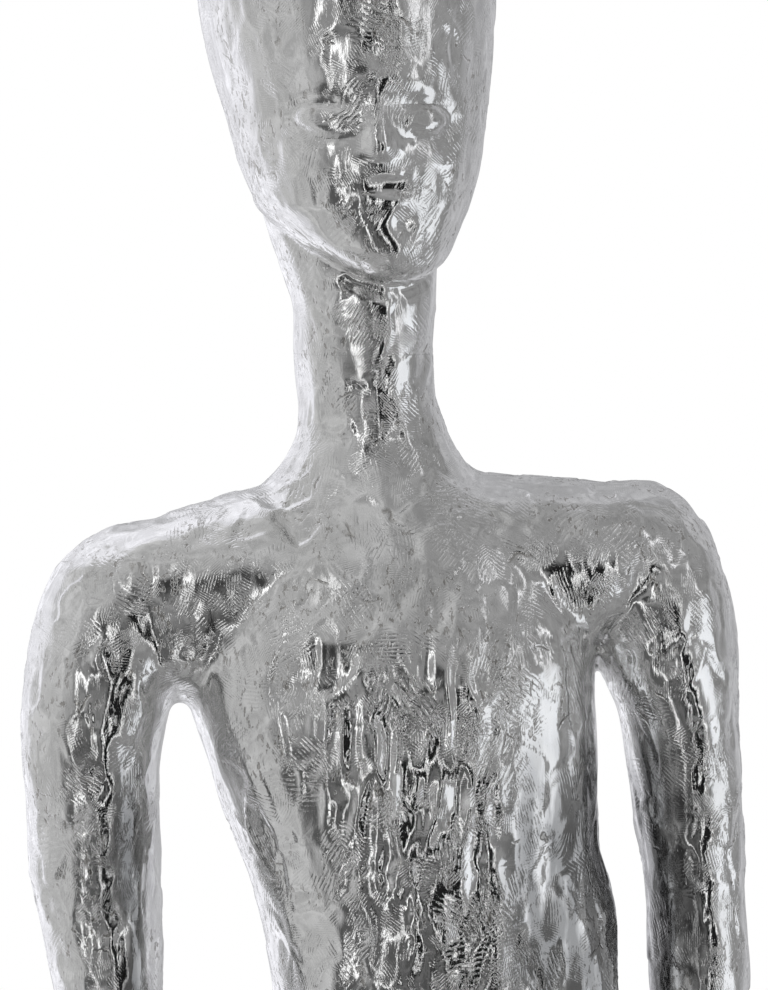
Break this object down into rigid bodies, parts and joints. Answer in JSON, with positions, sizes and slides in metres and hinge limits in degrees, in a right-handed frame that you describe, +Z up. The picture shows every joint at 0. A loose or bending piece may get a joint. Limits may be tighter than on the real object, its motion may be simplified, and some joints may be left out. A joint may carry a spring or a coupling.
{
  "type": "full body mannequin",
  "caption": "Free-standing full body display mannequin with a bald, featureless face, hollow silvered shells, removable limbs and a round base with a leg rod.",
  "frame": {"origin": "centre of the underside of the base pads, on the floor", "axes": "+Z up, the figure faces -Y, its left side is +X"},
  "size_m": [0.4533, 0.4, 1.86],
  "materials": {
    "silver_skin": "hand-worked moulded shell with a bright silvered coating",
    "base_steel": "brushed steel plate with a bevelled rim",
    "fitting_steel": "turned and brushed steel",
    "dark_steel": "blackened steel",
    "magnet_nickel": "nickel plated magnet",
    "pad_rubber": "matt black rubber"
  },
  "bodies": {
    "stand": {"base_plate": "base_steel", "base_pads": "pad_rubber", "base_bushing": "fitting_steel", "bushing_screws": "dark_steel"},
    "rod": {"support_rod": "fitting_steel", "rod_retainer": "dark_steel"},
    "hips": {"hips_left_leg_shell": "silver_skin", "rod_socket": "fitting_steel", "rod_set_screw": "dark_steel", "thigh_socket": "fitting_steel", "thigh_socket_screws": "dark_steel", "thigh_spring": "fitting_steel", "waist_socket": "fitting_steel", "waist_socket_screws": "dark_steel"},
    "right_leg": {"right_leg_shell": "silver_skin", "thigh_spigot": "fitting_steel", "thigh_spigot_screws": "dark_steel"},
    "plunger": {"thigh_plunger": "dark_steel"},
    "waist_turn": {"waist_rotor": "fitting_steel"},
    "torso": {"torso_shell": "silver_skin", "waist_plate": "fitting_steel", "waist_plate_screws": "dark_steel", "neck_socket": "fitting_steel", "neck_socket_screws": "dark_steel", "neck_socket_magnets": "magnet_nickel", "right_shoulder_socket": "fitting_steel", "right_shoulder_screws": "dark_steel", "right_shoulder_magnets": "magnet_nickel", "left_shoulder_socket": "fitting_steel", "left_shoulder_screws": "dark_steel", "left_shoulder_magnets": "magnet_nickel"},
    "head": {"head_shell": "silver_skin", "neck_spigot": "fitting_steel", "neck_spigot_screws": "dark_steel", "neck_spigot_magnets": "magnet_nickel"},
    "right_arm": {"right_arm_shell": "silver_skin", "right_arm_spigot": "fitting_steel", "right_arm_screws": "dark_steel", "right_arm_magnets": "magnet_nickel", "right_wrist_socket": "fitting_steel", "right_wrist_magnet": "magnet_nickel"},
    "right_hand": {"right_hand": "silver_skin", "right_wrist_spigot": "fitting_steel"},
    "left_arm": {"left_arm_shell": "silver_skin", "left_arm_spigot": "fitting_steel", "left_arm_screws": "dark_steel", "left_arm_magnets": "magnet_nickel", "left_wrist_socket": "fitting_steel", "left_wrist_magnet": "magnet_nickel"},
    "left_hand": {"left_hand": "silver_skin", "left_wrist_spigot": "fitting_steel"}
  },
  "joints": [
    {"name": "rod_swivel", "type": "hinge", "parent": "stand", "child": "rod", "pos_m": [0.058, 0.02, 0.012], "axis": [0, 0, 1], "continuous": true},
    {"name": "lift_off_rod", "type": "slide", "parent": "rod", "child": "hips", "axis": [0, 0, 1], "range_m": [0, 0.16]},
    {"name": "thigh_turn", "type": "hinge", "parent": "hips", "child": "right_leg", "pos_m": [-0.038, 0.004, 0.842], "axis": [0, 0, -1], "range_deg": [-3, 20]},
    {"name": "plunger_pull", "type": "slide", "parent": "hips", "child": "plunger", "axis": [-1, 0, 0], "range_m": [0, 0.005], "stiffness_N_per_m": 400, "springref_m": -0.005},
    {"name": "waist_twist", "type": "hinge", "parent": "hips", "child": "waist_turn", "pos_m": [0.041, -0.007, 1.176], "axis": [0, 0, 1], "range_deg": [-12, 12]},
    {"name": "torso_lift_off", "type": "slide", "parent": "waist_turn", "child": "torso", "axis": [0, 0, 1], "range_m": [0, 0.1]},
    {"name": "head_turn", "type": "hinge", "parent": "torso", "child": "head", "pos_m": [-0.01, 0.004, 1.556], "axis": [0, 0, 1], "continuous": true},
    {"name": "right_shoulder_turn", "type": "hinge", "parent": "torso", "child": "right_arm", "pos_m": [-0.162, 0, 1.373], "axis": [-0.5878, 0, -0.809], "range_deg": [-30, 75]},
    {"name": "left_shoulder_turn", "type": "hinge", "parent": "torso", "child": "left_arm", "pos_m": [0.17, 0, 1.3915], "axis": [0.5878, 0, -0.809], "range_deg": [-75, 30]},
    {"name": "right_wrist_turn", "type": "hinge", "parent": "right_arm", "child": "right_hand", "pos_m": [-0.166, -0.044, 0.886], "axis": [-0.0172, -0.1736, -0.9847], "continuous": true},
    {"name": "left_wrist_turn", "type": "hinge", "parent": "left_arm", "child": "left_hand", "pos_m": [0.221, -0.04, 0.902], "axis": [0.1032, -0.1564, -0.9823], "continuous": true}
  ]
}
